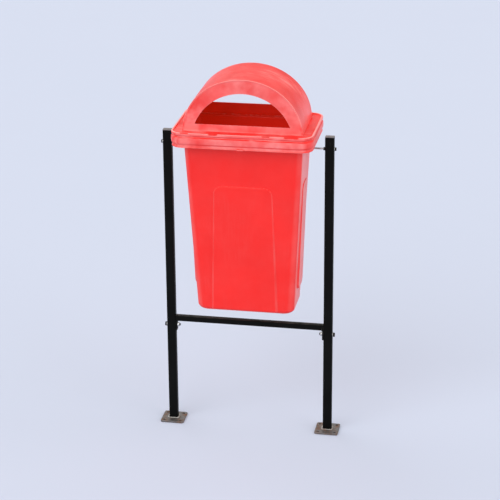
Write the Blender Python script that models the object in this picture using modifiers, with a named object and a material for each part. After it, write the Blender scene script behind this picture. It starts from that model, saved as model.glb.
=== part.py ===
"""Litter bin hung between two posts.

A tapered plastic bin swings on two pivot bolts between steel posts that a crossbar joins.
Its hooded lid opens on two hinge pins at the rear. Metres, +Z up. The origin is on the
ground midway between the posts, the posts stand at -X and +X, and the front faces -Y.
"""
import math

import bmesh
import bpy
from mathutils import Matrix, Vector

OBJECT_NAME = "litter_bin"

# ---------------------------------------------------------------- driving dimensions
GAP = 0.0003               # left between touching pieces

# Frame
POST_SPACING = 0.510       # between the post centres
POST_WIDTH = 0.028
POST_DEPTH = 0.020
POST_WALL = 0.0015
POST_CORNER = 0.0020
POST_TOP = 1.000           # top of the cap above the ground
CAP_THICKNESS = 0.002
CAP_PLUG = 0.012

PLATE_SIZE = 0.076
PLATE_THICKNESS = 0.005
PLATE_CORNER = 0.006
PLATE_HOLE_RADIUS = 0.0045
PLATE_HOLE_OFFSET = 0.0270  # from the plate's centre, along X and Y
WELD_LEG = 0.004

BAR_SIZE = 0.018
BAR_WALL = 0.0015
BAR_HEIGHT = 0.362         # centre line above the ground
TAB_THICKNESS = 0.004
TAB_DEPTH = 0.018
TAB_BOTTOM = 0.320
TAB_BOLT_HEIGHT = 0.338

# Bin
RIM_WIDTH = 0.441
RIM_DEPTH = 0.280
RIM_CORNER = 0.040
RIM_BOTTOM = 0.985
RIM_TOP = 1.0326

BODY_TOP_WIDTH = 0.3695
BODY_TOP_DEPTH = 0.2085
BODY_BOTTOM_WIDTH = 0.3095
BODY_BOTTOM_DEPTH = 0.155
BODY_BOTTOM = 0.427
BODY_TOP_CORNER = 0.024
BODY_BOTTOM_CORNER = 0.032
BODY_FILLET = 0.018
WALL = 0.003
FLANGE_OUT = 0.0155        # how far the body's top flange stands out from the wall

PANEL_TOP = 0.854
PANEL_HEAD = 0.0025        # how far a panel stands out at its top edge
PANEL_FOOT = 0.0080        # and at its foot
PANEL_CORNER = 0.024
PANEL_SLOPE = 1.1          # width of the slope at a panel's sides, over its height
FRONT_PANEL_TOP_HALF = 0.088
FRONT_PANEL_BOTTOM_HALF = 0.098
SIDE_PANEL_TOP_HALF = 0.040
SIDE_PANEL_BOTTOM_HALF = 0.038
SIDE_PANEL_BOTTOM = 0.500  # the side panels end above the base

HOOD_WIDTH = 0.370
HOOD_DEPTH = 0.200
HOOD_RISE = 0.168          # from the flange to the crown
MOUTH_HALF_WIDTH = 0.1475
MOUTH_TOP = 0.1233         # above the flange, as are the sills
FRONT_SILL = 0.023
REAR_SILL = 0.036
LIP_HEIGHT = 0.004         # the lip round the flange stands this much above it
LIP_WIDTH = 0.007

TAB_WIDTH = 0.022          # thumb tab at the lid's front edge
TAB_REACH = 0.004          # how far it stands out past the rim
DRAIN_RADIUS = 0.005

# Pivots (M6) and crossbar bolts (M8)
PIVOT_HEIGHT = 0.9595
PIVOT_RADIUS = 0.003
PIVOT_END = 0.1512         # half-distance between the inner ends of the pivot bolts
BUSH_RADIUS = 0.0075
BUSH_FLANGE_RADIUS = 0.011
BOSS_RADIUS = 0.018
BOSS_INNER = 0.166
BOLT_RADIUS = 0.004

# Lid hinge
HINGE_Y = RIM_DEPTH / 2 + 0.006
HINGE_Z = 0.9805
HINGE_OFFSET = 0.110       # from the middle to each hinge
HINGE_RADIUS = 0.0075
HINGE_PIN_RADIUS = 0.003
KNUCKLE_WIDTH = 0.018
EAR_WIDTH = 0.008

# ---------------------------------------------------------------- derived places
POST_X = POST_SPACING / 2
POST_INNER = POST_X - POST_WIDTH / 2
POST_OUTER = POST_X + POST_WIDTH / 2
FLANGE_TOP = RIM_TOP - LIP_HEIGHT
BODY_TOP = FLANGE_TOP - WALL - GAP
SIDES = (("left", -1), ("right", 1))


# ---------------------------------------------------------------- scene and materials
def clear_scene():
    for obj in list(bpy.data.objects):
        bpy.data.objects.remove(obj, do_unlink=True)
    for collection in list(bpy.data.collections):
        bpy.data.collections.remove(collection)


def new_collection(name):
    collection = bpy.data.collections.new(name)
    bpy.context.scene.collection.children.link(collection)
    return collection


def make_material(name, colour, roughness, metallic):
    material = bpy.data.materials.new(name)
    material.use_nodes = True
    shader = material.node_tree.nodes["Principled BSDF"]
    shader.inputs["Base Color"].default_value = (*colour, 1.0)
    shader.inputs["Roughness"].default_value = roughness
    shader.inputs["Metallic"].default_value = metallic
    material.diffuse_color = (*colour, 1.0)
    return material


clear_scene()
PARTS = new_collection(OBJECT_NAME)
CUTTERS = new_collection("cutters")

RED_PLASTIC = make_material("red_plastic", (0.86, 0.035, 0.030), 0.42, 0.0)
BLACK_PAINT = make_material("black_paint", (0.010, 0.010, 0.011), 0.40, 0.0)
BARE_STEEL = make_material("bare_steel", (0.30, 0.27, 0.24), 0.55, 0.9)
ZINC = make_material("zinc_plate", (0.62, 0.63, 0.65), 0.35, 1.0)
GREY_NYLON = make_material("grey_nylon", (0.16, 0.16, 0.17), 0.50, 0.0)
GREY_CAP = make_material("grey_cap", (0.12, 0.12, 0.13), 0.50, 0.0)
DARK_NUT = make_material("blackened_steel", (0.03, 0.03, 0.03), 0.45, 0.8)


def empty(name, location):
    """An empty that marks a joint's axis; the pieces that turn on it are its children."""
    marker = bpy.data.objects.new(name, None)
    marker.empty_display_size = 0.05
    marker.location = location
    PARTS.objects.link(marker)
    return marker


BIN_PIVOT = empty("bin_pivot", (0, 0, PIVOT_HEIGHT))
LID_PIVOT = empty("lid_pivot", (0, HINGE_Y, HINGE_Z - PIVOT_HEIGHT))
LID_PIVOT.parent = BIN_PIVOT


# ---------------------------------------------------------------- making objects
def add_object(name, mesh, location=(0, 0, 0), collection=None):
    obj = bpy.data.objects.new(name, mesh)
    obj.location = location
    (collection or PARTS).objects.link(obj)
    return obj


def from_bmesh(name, bm, location=(0, 0, 0), collection=None):
    bmesh.ops.recalc_face_normals(bm, faces=bm.faces)
    mesh = bpy.data.meshes.new(name)
    bm.to_mesh(mesh)
    bm.free()
    return add_object(name, mesh, location, collection)


def finish_part(obj, material, parent=None):
    """Give a part its material, soft shading and, for a moving part, its joint's empty."""
    obj.data.materials.append(material)
    obj.data.shade_smooth()
    obj.data.set_sharp_from_angle(angle=math.radians(35))
    if parent:
        origin = Vector(parent.location)
        if parent.parent:
            origin += Vector(parent.parent.location)
        obj.parent = parent
        obj.location = Vector(obj.location) - origin
    return obj


def box(name, size, centre, edge_radius=0.0, collection=None):
    """A box whose four upright edges are rounded."""
    bm = bmesh.new()
    bmesh.ops.create_cube(bm, size=1.0)
    bmesh.ops.scale(bm, vec=size, verts=bm.verts)
    if edge_radius:
        upright = [e for e in bm.edges if abs(e.verts[0].co.z - e.verts[1].co.z) > size[2] / 2]
        bmesh.ops.bevel(bm, geom=upright, offset=edge_radius, segments=4, profile=0.5, affect="EDGES")
    return from_bmesh(name, bm, centre, collection)


def rod(name, radius, start, end, segments=24, collection=None):
    """A cylinder between two points, or a hexagonal prism with six segments."""
    start, end = Vector(start), Vector(end)
    bm = bmesh.new()
    bmesh.ops.create_cone(bm, cap_ends=True, segments=segments, radius1=radius, radius2=radius,
                          depth=(end - start).length)
    turn = Vector((0, 0, 1)).rotation_difference(end - start).to_matrix().to_4x4()
    bmesh.ops.transform(bm, matrix=turn, verts=bm.verts)
    return from_bmesh(name, bm, (start + end) / 2, collection)


def flat_solid(name, outline, low, high, along="Y", collection=None):
    """A filled 2D curve made a solid: an outline in X and Z that is thick along Y, or an
    outline in Y and Z that is thick along X."""
    curve = bpy.data.curves.new(name, "CURVE")
    curve.dimensions = "2D"
    curve.fill_mode = "BOTH"
    curve.extrude = (high - low) / 2
    spline = curve.splines.new("POLY")
    spline.points.add(len(outline) - 1)
    spline.use_cyclic_u = True
    for point, (across, z) in zip(spline.points, outline):
        point.co = (across, z, 0, 1)
    shape = bpy.data.objects.new(name + "_outline", curve)
    bpy.context.scene.collection.objects.link(shape)
    mesh = bpy.data.meshes.new_from_object(shape.evaluated_get(bpy.context.evaluated_depsgraph_get()))
    bpy.data.objects.remove(shape)
    bm = bmesh.new()
    bm.from_mesh(mesh)
    bmesh.ops.remove_doubles(bm, verts=bm.verts, dist=1e-6)
    turn = Matrix.Rotation(math.radians(90), 4, "X")
    middle = (0, (low + high) / 2, 0)
    if along == "X":
        turn = Matrix.Rotation(math.radians(90), 4, "Z") @ turn
        middle = ((low + high) / 2, 0, 0)
    bmesh.ops.transform(bm, matrix=turn, verts=bm.verts)
    return from_bmesh(name, bm, middle, collection)


def boolean(obj, tool, operation):
    """Cut or join with a tool that stays as a wire guide outside the parts."""
    modifier = obj.modifiers.new(tool.name, "BOOLEAN")
    modifier.operation = operation
    modifier.object = tool
    modifier.solver = "EXACT"
    tool.hide_render = True
    tool.display_type = "WIRE"
    return obj


def cut(obj, *tools):
    for tool in tools:
        boolean(obj, tool, "DIFFERENCE")
    return obj


def join(obj, *tools):
    for tool in tools:
        boolean(obj, tool, "UNION")
    return obj


def cut_rod(obj, radius, start, end, segments=24):
    """Drill a round hole from one point to another."""
    index = len(CUTTERS.objects)
    return cut(obj, rod(f"hole_{index}", radius, start, end, segments, CUTTERS))


def ring_piece(name, outer, inner, x_from, x_to, centre_z, sides=32, centre_y=0.0):
    """A washer (round) or nut (six sides) around an axis along X."""
    low, high = sorted((x_from, x_to))
    piece = rod(name, outer, (low, centre_y, centre_z), (high, centre_y, centre_z), sides)
    cut_rod(piece, inner, (low - 0.01, centre_y, centre_z), (high + 0.01, centre_y, centre_z))
    return piece


# ---------------------------------------------------------------- frame
def make_post(side, sign):
    x = sign * POST_X
    low = PLATE_THICKNESS + GAP
    high = POST_TOP - CAP_THICKNESS - GAP
    centre = (x, 0, (low + high) / 2)
    post = box(f"{side}_post", (POST_WIDTH, POST_DEPTH, high - low), centre, POST_CORNER)
    inner = (POST_WIDTH - 2 * POST_WALL, POST_DEPTH - 2 * POST_WALL, high)
    cut(post, box(f"{side}_post_bore", inner, centre, 0.001, CUTTERS))
    for height, radius in ((PIVOT_HEIGHT, PIVOT_RADIUS), (TAB_BOLT_HEIGHT, BOLT_RADIUS)):
        cut_rod(post, radius + GAP, (x - POST_WIDTH, 0, height), (x + POST_WIDTH, 0, height))
    finish_part(post, BLACK_PAINT)


def make_post_cap(side, sign):
    x = sign * POST_X
    cap = box(f"{side}_post_cap", (POST_WIDTH, POST_DEPTH, CAP_THICKNESS),
              (x, 0, POST_TOP - CAP_THICKNESS / 2), POST_CORNER)
    clearance = 2 * (POST_WALL + GAP)
    plug_top = POST_TOP - CAP_THICKNESS / 2
    plug_low = POST_TOP - CAP_THICKNESS - CAP_PLUG
    plug = box(f"{side}_cap_plug", (POST_WIDTH - clearance, POST_DEPTH - clearance, plug_top - plug_low),
               (x, 0, (plug_top + plug_low) / 2), 0.001, CUTTERS)
    finish_part(join(cap, plug), GREY_CAP)


def make_base_plate(side, sign):
    x = sign * POST_X
    plate = box(f"{side}_base_plate", (PLATE_SIZE, PLATE_SIZE, PLATE_THICKNESS),
                (x, 0, PLATE_THICKNESS / 2), PLATE_CORNER)
    for dx in (-PLATE_HOLE_OFFSET, PLATE_HOLE_OFFSET):
        for dy in (-PLATE_HOLE_OFFSET, PLATE_HOLE_OFFSET):
            cut_rod(plate, PLATE_HOLE_RADIUS, (x + dx, dy, -0.01), (x + dx, dy, 0.02))
    finish_part(plate, BARE_STEEL)


def make_foot_weld(side, sign):
    """The fillet weld round the foot of a post: a tapered block with the post's hole in it."""
    bm = bmesh.new()
    bmesh.ops.create_cube(bm, size=1.0)
    for vert in bm.verts:
        leg = WELD_LEG if vert.co.z < 0 else WELD_LEG * 0.15
        vert.co.x *= POST_WIDTH + 2 * (leg + GAP)
        vert.co.y *= POST_DEPTH + 2 * (leg + GAP)
        vert.co.z *= WELD_LEG
    low = PLATE_THICKNESS + GAP
    weld = from_bmesh(f"{side}_foot_weld", bm, (sign * POST_X, 0, low + WELD_LEG / 2))
    hole = box(f"{side}_weld_hole", (POST_WIDTH + 2 * GAP, POST_DEPTH + 2 * GAP, 0.05),
               (sign * POST_X, 0, low), POST_CORNER, CUTTERS)
    finish_part(cut(weld, hole), BARE_STEEL)


def make_crossbar():
    half = POST_INNER - TAB_THICKNESS - 2 * GAP
    bar = box("crossbar", (2 * half, BAR_SIZE, BAR_SIZE), (0, 0, BAR_HEIGHT))
    bevel = bar.modifiers.new("rounded_edges", "BEVEL")
    bevel.width = 0.0015
    bevel.segments = 2
    inner = BAR_SIZE - 2 * BAR_WALL
    cut(bar, box("crossbar_bore", (4 * half, inner, inner), (0, 0, BAR_HEIGHT), 0, CUTTERS))
    finish_part(bar, BLACK_PAINT)


def make_crossbar_tab(side, sign):
    outer = POST_INNER - GAP
    centre_x = sign * (outer - TAB_THICKNESS / 2)
    top = BAR_HEIGHT + BAR_SIZE / 2
    tab = box(f"{side}_crossbar_tab", (TAB_THICKNESS, TAB_DEPTH, top - TAB_BOTTOM),
              (centre_x, 0, (top + TAB_BOTTOM) / 2))
    cut_rod(tab, BOLT_RADIUS + GAP, (centre_x - 0.02, 0, TAB_BOLT_HEIGHT),
            (centre_x + 0.02, 0, TAB_BOLT_HEIGHT))
    finish_part(tab, BLACK_PAINT)


def make_bolt(name, radius, head_radius, head_height, head_x, end_x, height):
    """A hexagon bolt along X: its head sits outside head_x and its shank runs to end_x."""
    sign = 1 if head_x > end_x else -1
    bolt = rod(name, head_radius, (head_x, 0, height), (head_x + sign * head_height, 0, height), 6)
    shank = rod(f"{name}_shank", radius, (head_x + sign * head_height / 2, 0, height),
                (end_x, 0, height), 24, CUTTERS)
    return join(bolt, shank)


def make_crossbar_fasteners(side, sign):
    """A bolt through the post and the tab, its washer outside and its nut inside."""
    washer_outer = POST_OUTER + GAP + 0.0016
    washer = ring_piece(f"{side}_crossbar_washer", 0.008, BOLT_RADIUS + GAP,
                        sign * (POST_OUTER + GAP), sign * washer_outer, TAB_BOLT_HEIGHT)
    finish_part(washer, ZINC)
    nut_outer = POST_INNER - TAB_THICKNESS - 2 * GAP
    nut = ring_piece(f"{side}_crossbar_nut", 0.0075, BOLT_RADIUS + GAP,
                     sign * nut_outer, sign * (nut_outer - 0.0065), TAB_BOLT_HEIGHT, 6)
    finish_part(nut, ZINC)
    bolt = make_bolt(f"{side}_crossbar_bolt", BOLT_RADIUS, 0.0075, 0.0053,
                     sign * (washer_outer + GAP), sign * (nut_outer - 0.0095), TAB_BOLT_HEIGHT)
    finish_part(bolt, DARK_NUT)


# ---------------------------------------------------------------- pivots
def make_pivot(side, sign):
    """The pivot bolt with its washers and nuts, and the bush that turns on it."""
    washer_outer = POST_OUTER + GAP + 0.0016
    hole = PIVOT_RADIUS + GAP
    outer_washer = ring_piece(f"{side}_pivot_outer_washer", 0.0065, hole,
                              sign * (POST_OUTER + GAP), sign * washer_outer, PIVOT_HEIGHT)
    finish_part(outer_washer, ZINC)
    jam_nut = ring_piece(f"{side}_pivot_jam_nut", 0.0058, hole,
                         sign * (POST_INNER - GAP), sign * (POST_INNER - GAP - 0.005), PIVOT_HEIGHT, 6)
    finish_part(jam_nut, DARK_NUT)

    inner_face = BOSS_INNER - GAP
    inner_washer = ring_piece(f"{side}_pivot_inner_washer", 0.0095, hole,
                              sign * (inner_face - GAP), sign * (inner_face - GAP - 0.0016), PIVOT_HEIGHT)
    finish_part(inner_washer, ZINC)
    nut_from = inner_face - 2 * GAP - 0.0016
    lock_nut = ring_piece(f"{side}_pivot_lock_nut", 0.0058, hole,
                          sign * nut_from, sign * (nut_from - 0.006), PIVOT_HEIGHT, 6)
    finish_part(lock_nut, ZINC)
    bolt = make_bolt(f"{side}_pivot_bolt", PIVOT_RADIUS, 0.0058, 0.004,
                     sign * (washer_outer + GAP), sign * PIVOT_END, PIVOT_HEIGHT)
    finish_part(bolt, ZINC)

    flange_from = wall_half(PIVOT_HEIGHT + BUSH_FLANGE_RADIUS, "width") + GAP
    bush = rod(f"{side}_pivot_bush", BUSH_RADIUS, (sign * inner_face, 0, PIVOT_HEIGHT),
               (sign * (flange_from + 0.001), 0, PIVOT_HEIGHT))
    flange = rod(f"{side}_bush_flange", BUSH_FLANGE_RADIUS, (sign * flange_from, 0, PIVOT_HEIGHT),
                 (sign * (flange_from + 0.002), 0, PIVOT_HEIGHT), 32, CUTTERS)
    join(bush, flange)
    cut_rod(bush, hole, (sign * 0.1, 0, PIVOT_HEIGHT), (sign * 0.3, 0, PIVOT_HEIGHT))
    finish_part(bush, GREY_NYLON, BIN_PIVOT)


# ---------------------------------------------------------------- bin body
def wall_half(z, which):
    """Half the body's outer width or depth at a height; its walls taper towards the base."""
    top, bottom = {"width": (BODY_TOP_WIDTH, BODY_BOTTOM_WIDTH),
                   "depth": (BODY_TOP_DEPTH, BODY_BOTTOM_DEPTH)}[which]
    share = (z - BODY_BOTTOM) / (RIM_BOTTOM - BODY_BOTTOM)
    return (bottom + (top - bottom) * share) / 2


def panel_half(z, top_half, bottom_half):
    """Half a raised panel's width at a height, with its two upper corners rounded."""
    share = (z - BODY_BOTTOM) / (PANEL_TOP - BODY_BOTTOM)
    half = bottom_half + (top_half - bottom_half) * share
    rise = z - (PANEL_TOP - PANEL_CORNER)
    if rise > 0:
        rise = min(rise, PANEL_CORNER)
        half -= PANEL_CORNER - math.sqrt(PANEL_CORNER ** 2 - rise ** 2)
    return half


def section(z, half_x, half_y, corner, bumps=(0.0, 0.0), panels=(0.05, 0.03), arc_steps=6):
    """A rounded rectangle at height z whose four sides carry a raised stretch in the middle.

    bumps and panels hold how far that stretch stands out and half its width, first for the
    sides across X, then for the sides across Y.
    """
    points = []
    for quarter in range(4):
        across_x = quarter % 2 == 0
        out, along = (half_x, half_y) if across_x else (half_y, half_x)
        bump, panel = (bumps[0], panels[0]) if across_x else (bumps[1], panels[1])
        angle = quarter * math.pi / 2
        normal = Vector((math.cos(angle), math.sin(angle), 0))
        tangent = Vector((-math.sin(angle), math.cos(angle), 0))
        draft = 0.001 + PANEL_SLOPE * bump
        profile = ((-panel - draft, 0), (-panel, bump), (panel, bump), (panel + draft, 0))
        for shift, proud in profile:
            points.append(normal * (out + proud) + tangent * shift + Vector((0, 0, z)))
        for step in range(arc_steps + 1):
            turn = step / arc_steps * math.pi / 2
            reach = out - corner + corner * math.cos(turn)
            shift = along - corner + corner * math.sin(turn)
            points.append(normal * reach + tangent * shift + Vector((0, 0, z)))
    return points


def loft(name, rings, cap_first=False, cap_last=False):
    """Skin a stack of sections that have the same number of points."""
    bm = bmesh.new()
    layers = [[bm.verts.new(point) for point in ring] for ring in rings]
    count = len(rings[0])
    for below, above in zip(layers, layers[1:]):
        for i in range(count):
            j = (i + 1) % count
            bm.faces.new((below[i], below[j], above[j], above[i]))
    if cap_first:
        bm.faces.new(reversed(layers[0]))
    if cap_last:
        bm.faces.new(layers[-1])
    mesh = bpy.data.meshes.new(name)
    bm.to_mesh(mesh)
    bm.free()
    return add_object(name, mesh)


def body_corner(z):
    """The plan radius of the body's upright edges, which grows towards the base."""
    share = (z - BODY_BOTTOM) / (RIM_BOTTOM - BODY_BOTTOM)
    return BODY_BOTTOM_CORNER + (BODY_TOP_CORNER - BODY_BOTTOM_CORNER) * share


def body_ring(z, inset=0.0):
    """The body's outer section at a height, with the raised panels below their top edge. The
    side panels end above the base."""
    bump = 0.0
    if z < PANEL_TOP - 0.0005:
        share = (z - BODY_BOTTOM) / (PANEL_TOP - BODY_BOTTOM)
        bump = PANEL_FOOT + (PANEL_HEAD - PANEL_FOOT) * share
    side_bump = bump if z > SIDE_PANEL_BOTTOM else 0.0
    side_half = panel_half(z, SIDE_PANEL_TOP_HALF, SIDE_PANEL_BOTTOM_HALF)
    if not side_bump:
        side_half = min(side_half, SIDE_PANEL_BOTTOM_HALF * 0.6)
    front_half = panel_half(z, FRONT_PANEL_TOP_HALF, FRONT_PANEL_BOTTOM_HALF)
    return section(z, wall_half(z, "width") - inset, wall_half(z, "depth") - inset,
                   body_corner(z) - inset * 0.6, (side_bump, bump), (side_half, front_half))


def body_rings():
    rings = [body_ring(BODY_BOTTOM, 2 * BODY_FILLET)]
    for step in range(5):
        turn = step / 4 * math.pi / 2
        z = BODY_BOTTOM + BODY_FILLET * (1 - math.cos(turn))
        rings.append(body_ring(z, BODY_FILLET * (1 - math.sin(turn))))
    for z in (SIDE_PANEL_BOTTOM - 0.004, SIDE_PANEL_BOTTOM + 0.004, 0.58, 0.66, 0.74,
              PANEL_TOP - PANEL_CORNER):
        rings.append(body_ring(z))
    for step in range(1, 6):
        turn = step / 6 * math.pi / 2
        rings.append(body_ring(PANEL_TOP - PANEL_CORNER * (1 - math.sin(turn)) - 0.001))
    for z in (PANEL_TOP, 0.93, BODY_TOP - WALL):
        rings.append(body_ring(z))
    flange_z = BODY_TOP - WALL
    half_x = wall_half(flange_z, "width") + FLANGE_OUT
    half_y = wall_half(flange_z, "depth") + FLANGE_OUT
    rings.append(section(flange_z + 0.00001, half_x, half_y, BODY_TOP_CORNER + FLANGE_OUT))
    return rings


def make_bin_body():
    """The moulded shell: walls 3 mm thick, a flange at the top, two bosses for the bushes,
    two hinge knuckles at the rear and drain holes in the base."""
    body = loft("bin_body", body_rings(), cap_first=True)
    shell = body.modifiers.new("wall_thickness", "SOLIDIFY")
    shell.thickness = WALL
    shell.offset = -1
    shell.use_even_offset = True
    for side, sign in SIDES:
        wall_middle = wall_half(PIVOT_HEIGHT, "width") - WALL / 2
        join(body, rod(f"{side}_boss", BOSS_RADIUS, (sign * BOSS_INNER, 0, PIVOT_HEIGHT),
                       (sign * wall_middle, 0, PIVOT_HEIGHT), 32, CUTTERS))
        cut_rod(body, BUSH_RADIUS + GAP, (sign * 0.15, 0, PIVOT_HEIGHT), (sign * 0.20, 0, PIVOT_HEIGHT))
        join(body, make_body_knuckle(side, sign))
        drill_pin_hole(body, sign)
    for x, y in ((0, 0), (-0.09, -0.03), (0.09, -0.03), (-0.09, 0.03), (0.09, 0.03)):
        cut_rod(body, DRAIN_RADIUS, (x, y, BODY_BOTTOM - 0.02), (x, y, BODY_BOTTOM + 0.02))
    finish_part(body, RED_PLASTIC, BIN_PIVOT)


def drill_pin_hole(obj, sign):
    x, reach = sign * HINGE_OFFSET, 0.03
    cut_rod(obj, HINGE_PIN_RADIUS + GAP, (x - reach, HINGE_Y, HINGE_Z), (x + reach, HINGE_Y, HINGE_Z))


def hinge_arc(first_degrees, last_degrees, steps=16):
    """Points round a hinge barrel, with angles measured from +Y towards +Z."""
    points = []
    for step in range(steps + 1):
        turn = math.radians(first_degrees + (last_degrees - first_degrees) * step / steps)
        points.append((HINGE_Y + HINGE_RADIUS * math.cos(turn), HINGE_Z + HINGE_RADIUS * math.sin(turn)))
    return points


def make_body_knuckle(side, sign):
    """A barrel behind the rim on a gusset that grows from the rear wall."""
    x, half = sign * HINGE_OFFSET, KNUCKLE_WIDTH / 2
    arm_top = HINGE_Z + 0.0015
    gusset_low = HINGE_Z - 0.050
    outline = [(wall_half(gusset_low, "depth") - WALL / 2, gusset_low),
               (wall_half(arm_top, "depth") - WALL / 2, arm_top)]
    top_angle = 180 - math.degrees(math.asin((arm_top - HINGE_Z) / HINGE_RADIUS))
    outline += hinge_arc(top_angle, -80)
    return flat_solid(f"{side}_knuckle", outline, x - half, x + half, "X", CUTTERS)


# ---------------------------------------------------------------- lid
def arch(half_width, low, spring, rise, steps=40):
    """The outline of a vault: straight feet from low to spring, then half an ellipse."""
    points = [(half_width, low)]
    for step in range(steps + 1):
        turn = step / steps * math.pi
        points.append((half_width * math.cos(turn), spring + rise * math.sin(turn)))
    points.append((-half_width, low))
    return points


def mouth_outline(sill_rise, steps=28):
    """A mouth: a chord at the sill with a circular arc above it."""
    rise = MOUTH_TOP - sill_rise
    radius = (MOUTH_HALF_WIDTH ** 2 + rise ** 2) / (2 * rise)
    centre = FLANGE_TOP + MOUTH_TOP - radius
    half_angle = math.asin(MOUTH_HALF_WIDTH / radius)
    points = []
    for step in range(steps + 1):
        turn = half_angle - 2 * half_angle * step / steps
        points.append((radius * math.sin(turn), centre + radius * math.cos(turn)))
    return points


def lid_rings():
    """The lid's sections in one run: down the inside of its rim from the ceiling under the
    flange, then up the outside past the lower band, bulge, groove and lip to the flange."""
    half_x, half_y = RIM_WIDTH / 2, RIM_DEPTH / 2
    profile = (
        (0.0085, FLANGE_TOP - WALL), (0.0085, RIM_BOTTOM + 0.012), (0.0095, RIM_BOTTOM + 0.008),
        (0.0095, RIM_BOTTOM),
        (0.0022, RIM_BOTTOM), (0.0022, RIM_BOTTOM + 0.0020), (0.0036, RIM_BOTTOM + 0.0035),
        (0.0036, RIM_BOTTOM + 0.0100), (0.0008, RIM_BOTTOM + 0.0125), (0.0, RIM_BOTTOM + 0.0170),
        (0.0, RIM_BOTTOM + 0.0290), (0.0014, RIM_BOTTOM + 0.0325), (0.0044, RIM_BOTTOM + 0.0345),
        (0.0044, RIM_BOTTOM + 0.0375), (0.0010, RIM_BOTTOM + 0.0395), (0.0010, RIM_BOTTOM + 0.0440),
        (0.0025, RIM_TOP - 0.0008),
        (0.0045, RIM_TOP), (LIP_WIDTH, RIM_TOP - 0.0008), (LIP_WIDTH + 0.003, FLANGE_TOP),
    )
    return [section(z, half_x - inset, half_y - inset, RIM_CORNER - inset, arc_steps=8)
            for inset, z in profile]


def make_lid():
    """The lid: a stepped rim and flange, a vaulted hood open at front and rear, and hinge ears."""
    lid = loft("lid", lid_rings(), cap_first=True, cap_last=True)

    half_depth = HOOD_DEPTH / 2
    outer = flat_solid("hood_outside", arch(HOOD_WIDTH / 2, FLANGE_TOP - WALL / 2, FLANGE_TOP, HOOD_RISE),
                       -half_depth, half_depth, collection=CUTTERS)
    inner = flat_solid("hood_inside", arch(HOOD_WIDTH / 2 - WALL, FLANGE_TOP - 3 * WALL, FLANGE_TOP,
                                           HOOD_RISE - WALL), -half_depth + WALL, half_depth - WALL,
                       collection=CUTTERS)
    front_mouth = flat_solid("front_mouth", mouth_outline(FRONT_SILL), -half_depth - 0.02, 0,
                             collection=CUTTERS)
    rear_mouth = flat_solid("rear_mouth", mouth_outline(REAR_SILL), 0, half_depth + 0.02, collection=CUTTERS)
    join(lid, outer)
    for side, sign in SIDES:
        for place in (-1, 1):
            join(lid, make_lid_ear(side, sign, place))
    tab_back = RIM_DEPTH / 2 - 0.008
    tab_front = RIM_DEPTH / 2 + TAB_REACH
    join(lid, box("thumb_tab", (TAB_WIDTH, tab_front - tab_back, 0.003),
                  (0, -(tab_front + tab_back) / 2, RIM_BOTTOM + 0.0025), 0, CUTTERS))
    cut(lid, inner, front_mouth, rear_mouth)
    for _, sign in SIDES:
        drill_pin_hole(lid, sign)
    finish_part(lid, RED_PLASTIC, LID_PIVOT)


def make_lid_ear(side, sign, place):
    """One ear of a hinge: a rounded lug on the pin that grows from the rear rim."""
    x = sign * HINGE_OFFSET + place * (KNUCKLE_WIDTH / 2 + 0.0006 + EAR_WIDTH / 2)
    half = EAR_WIDTH / 2
    in_wall = RIM_DEPTH / 2 - 0.0080
    root_low = RIM_BOTTOM + 0.001
    outline = [(in_wall, RIM_BOTTOM + 0.021), (in_wall, root_low)]
    low_angle = 180 - math.degrees(math.asin((root_low - HINGE_Z) / HINGE_RADIUS))
    outline += hinge_arc(low_angle, 400)
    outline.append((HINGE_Y - 0.001, RIM_BOTTOM + 0.021))
    return flat_solid(f"{side}_ear_{place}", outline, x - half, x + half, "X", CUTTERS)


def make_hinge_pin(side, sign):
    """A headed steel pin through the ears and the knuckle, and the push-on cap that holds it."""
    x = sign * HINGE_OFFSET
    reach = KNUCKLE_WIDTH / 2 + EAR_WIDTH + 0.0006
    head = rod(f"{side}_hinge_pin", 0.0050, (x + reach + GAP, HINGE_Y, HINGE_Z),
               (x + reach + GAP + 0.002, HINGE_Y, HINGE_Z))
    shank = rod(f"{side}_pin_shank", HINGE_PIN_RADIUS, (x - reach - 0.004, HINGE_Y, HINGE_Z),
                (x + reach + GAP + 0.001, HINGE_Y, HINGE_Z), 24, CUTTERS)
    finish_part(join(head, shank), ZINC, BIN_PIVOT)
    cap = ring_piece(f"{side}_hinge_pin_cap", 0.0052, HINGE_PIN_RADIUS + GAP,
                     x - reach - GAP, x - reach - GAP - 0.0025, HINGE_Z, 24, HINGE_Y)
    finish_part(cap, ZINC, BIN_PIVOT)


# ---------------------------------------------------------------- build
def build():
    for side, sign in SIDES:
        make_post(side, sign)
        make_post_cap(side, sign)
        make_base_plate(side, sign)
        make_foot_weld(side, sign)
        make_crossbar_tab(side, sign)
        make_crossbar_fasteners(side, sign)
        make_pivot(side, sign)
        make_hinge_pin(side, sign)
    make_crossbar()
    make_bin_body()
    make_lid()


build()
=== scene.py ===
import math

import bmesh
import bpy
from mathutils import Matrix, Vector


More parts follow.
